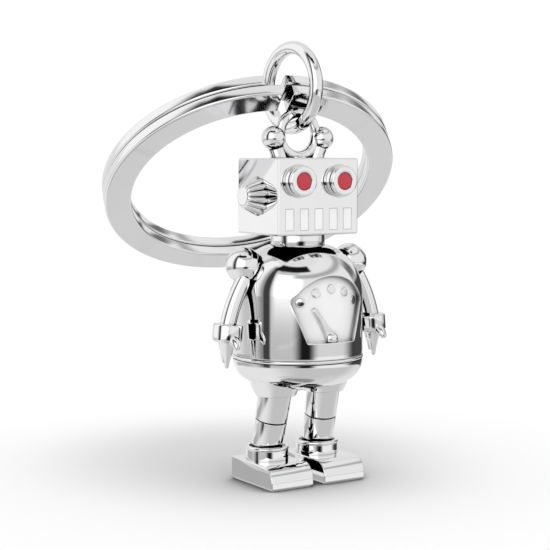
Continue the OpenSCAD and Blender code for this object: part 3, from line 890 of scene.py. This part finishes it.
def add_head():
    head = add_piece(
        "head_plated", soft_block(-HEAD_W / 2, -HEAD_D / 2, HEAD_LOW, HEAD_W / 2, HEAD_D / 2, HEAD_TOP, 0.2),
        PLATE, "polished_plate", "head", "head_block"
    )
    gap, depth = 0.03, 0.05
    teeth = []
    pockets = []
    for i in range(-2, 3):
        x0, y0 = i * TOOTH_PITCH - TOOTH_W / 2, -HEAD_D / 2
        pockets.append(soft_block(x0 - gap, y0 - 0.5, TOOTH_Z - gap, x0 + TOOTH_W + gap, y0 + depth,
                                  TOOTH_Z + TOOTH_H + gap, 0.05, 2))
        teeth.append(soft_block(x0, y0, TOOTH_Z, x0 + TOOTH_W, y0 + depth + 0.1, TOOTH_Z + TOOTH_H, 0.05, 3))
    carve(head, joined(*pockets))
    add_piece("teeth", joined(*teeth), WHITE, "white_enamel", "head", "teeth_enamel")
    features = (
        ("eye_ring_", eye_shape(), PLATE, "polished_plate", "eye_barrel_", CREASE),
        ("eye_drop_", eye_fill_shape(), RED, "red_enamel", "eye_enamel_", CREASE),
        ("ear_", ear_shape(), PLATE, "polished_plate", "ear_knob_", 50.0),
        ("feeler_", antenna_shape(), PLATE, "polished_plate", "antenna_", CREASE),
    )
    for side, tag in ((1, "left"), (-1, "right")):
        for name, shape, material, slot, node, sharp in features:
            add_piece(name + tag, sided(shape, side), material, slot, "head", node + tag, sharp=sharp)
    wire = arc(EYELET_R, 0, EYELET_WIRE, 0, 360, 32)[:-1]
    loop = moved(turned(wire, 128, closed=True), place(0, 0, EYELET_Z, 90))
    post = turned([(0, 34.2), (1.0, 34.2), (0.96, 34.42), (0.86, 34.6), (0, 34.8)], 64)
    add_piece("eyelet", joined(loop, post), PLATE, "polished_plate", "head", "top_eyelet")


# ---------------------------------------------------------------- rings

JUMP_R, JUMP_WIRE, JUMP_SEAM = 4.2, 0.72, 0.8
JUMP_LEAN, JUMP_TURN, JUMP_SEAM_AT = -22, 4, 40
SPLIT_OD, SPLIT_W, SPLIT_T, SPLIT_STEP = 33.2, 3.0, 1.31, 1.37
SPLIT_CENTRE, SPLIT_LEAN, SPLIT_TURN = (1.67, 12.68, 32.05), -37.4, -14


def jump_ring_shape():
    """Round wire; its ends meet at a hairline seam."""
    sections = []
    steps = 200
    ends = [(0.0, 0.9), (0.4, 0.97), (1.2, 1.0)]
    span, taper = 360 - JUMP_SEAM, ends[-1][0]
    turns = ends + [(taper + (span - 2 * taper) * i / steps, 1.0) for i in range(1, steps)]
    turns += [(span - angle, keep) for angle, keep in reversed(ends)]
    for angle, keep in turns:
        a = math.radians(JUMP_SEAM_AT + JUMP_SEAM / 2 + angle)
        sections.append([
            ((JUMP_R + r) * math.cos(a), (JUMP_R + r) * math.sin(a), z)
            for r, z in arc(0, 0, JUMP_WIRE * keep, 0, 360, 32)[:-1]
        ])
    hang = JUMP_R - (EYELET_WIRE + JUMP_WIRE + 0.07)
    frame_of_ring = (place(0, 0, EYELET_Z + EYELET_R, JUMP_LEAN, 0, JUMP_TURN)
                     @ Matrix.Translation((0, 0, hang)) @ Matrix.Rotation(math.radians(90), 4, "Y"))
    return moved(skin(sections), frame_of_ring)


def split_ring_shape():
    """Nearly two turns of flat wire with rounded corners, stepping up once."""
    middle = (SPLIT_OD - SPLIT_W) / 2
    start, end = 272.0, 982.3
    ramp = (627.5, 630.9)
    w, t, corner = SPLIT_W / 2, SPLIT_T / 2, 0.26
    section = rounded([(-w, -t, corner), (w, -t, corner), (w, t, corner), (-w, t, corner)], 6)
    angles = [start, start + 0.12, start + 0.35]
    stretches = ((start + 0.35, ramp[0], 280), (ramp[0], ramp[1], 24), (ramp[1], end - 0.35, 280))
    for low, high, steps in stretches:
        angles += [low + (high - low) * i / steps for i in range(1, steps + 1)]
    angles += [end - 0.12, end]
    sections = []
    for angle in angles:
        share = min(max((angle - ramp[0]) / (ramp[1] - ramp[0]), 0.0), 1.0)
        level = SPLIT_STEP * (share * share * (3 - 2 * share) - 0.5)
        from_end = min(angle - start, end - angle)
        keep = 0.93 if from_end < 0.05 else 0.985 if from_end < 0.2 else 1.0
        a = math.radians(angle)
        sections.append([
            ((middle + r * keep) * math.cos(a), (middle + r * keep) * math.sin(a), level + z * keep)
            for r, z in section
        ])
    return moved(skin(sections), place(*SPLIT_CENTRE, SPLIT_LEAN, 0, SPLIT_TURN))


def add_rings():
    add_piece("jump_ring_wire", jump_ring_shape(), PLATE, "ring_plate", "jump_ring", "jump_ring")
    add_piece("split_ring_wire", split_ring_shape(), WIRE, "ring_plate", "split_ring", "split_ring")


studio = studio_group()
add_camera()
add_world(studio)
add_floor()
add_overhead_light()
dress_cad_nodes()
add_legs()
add_torso()
add_arms()
add_head()
add_rings()
bpy.context.scene.view_settings.view_transform = "Standard"
bpy.context.scene.cycles.glossy_bounces = 1
bpy.context.scene.cycles.caustics_reflective = False
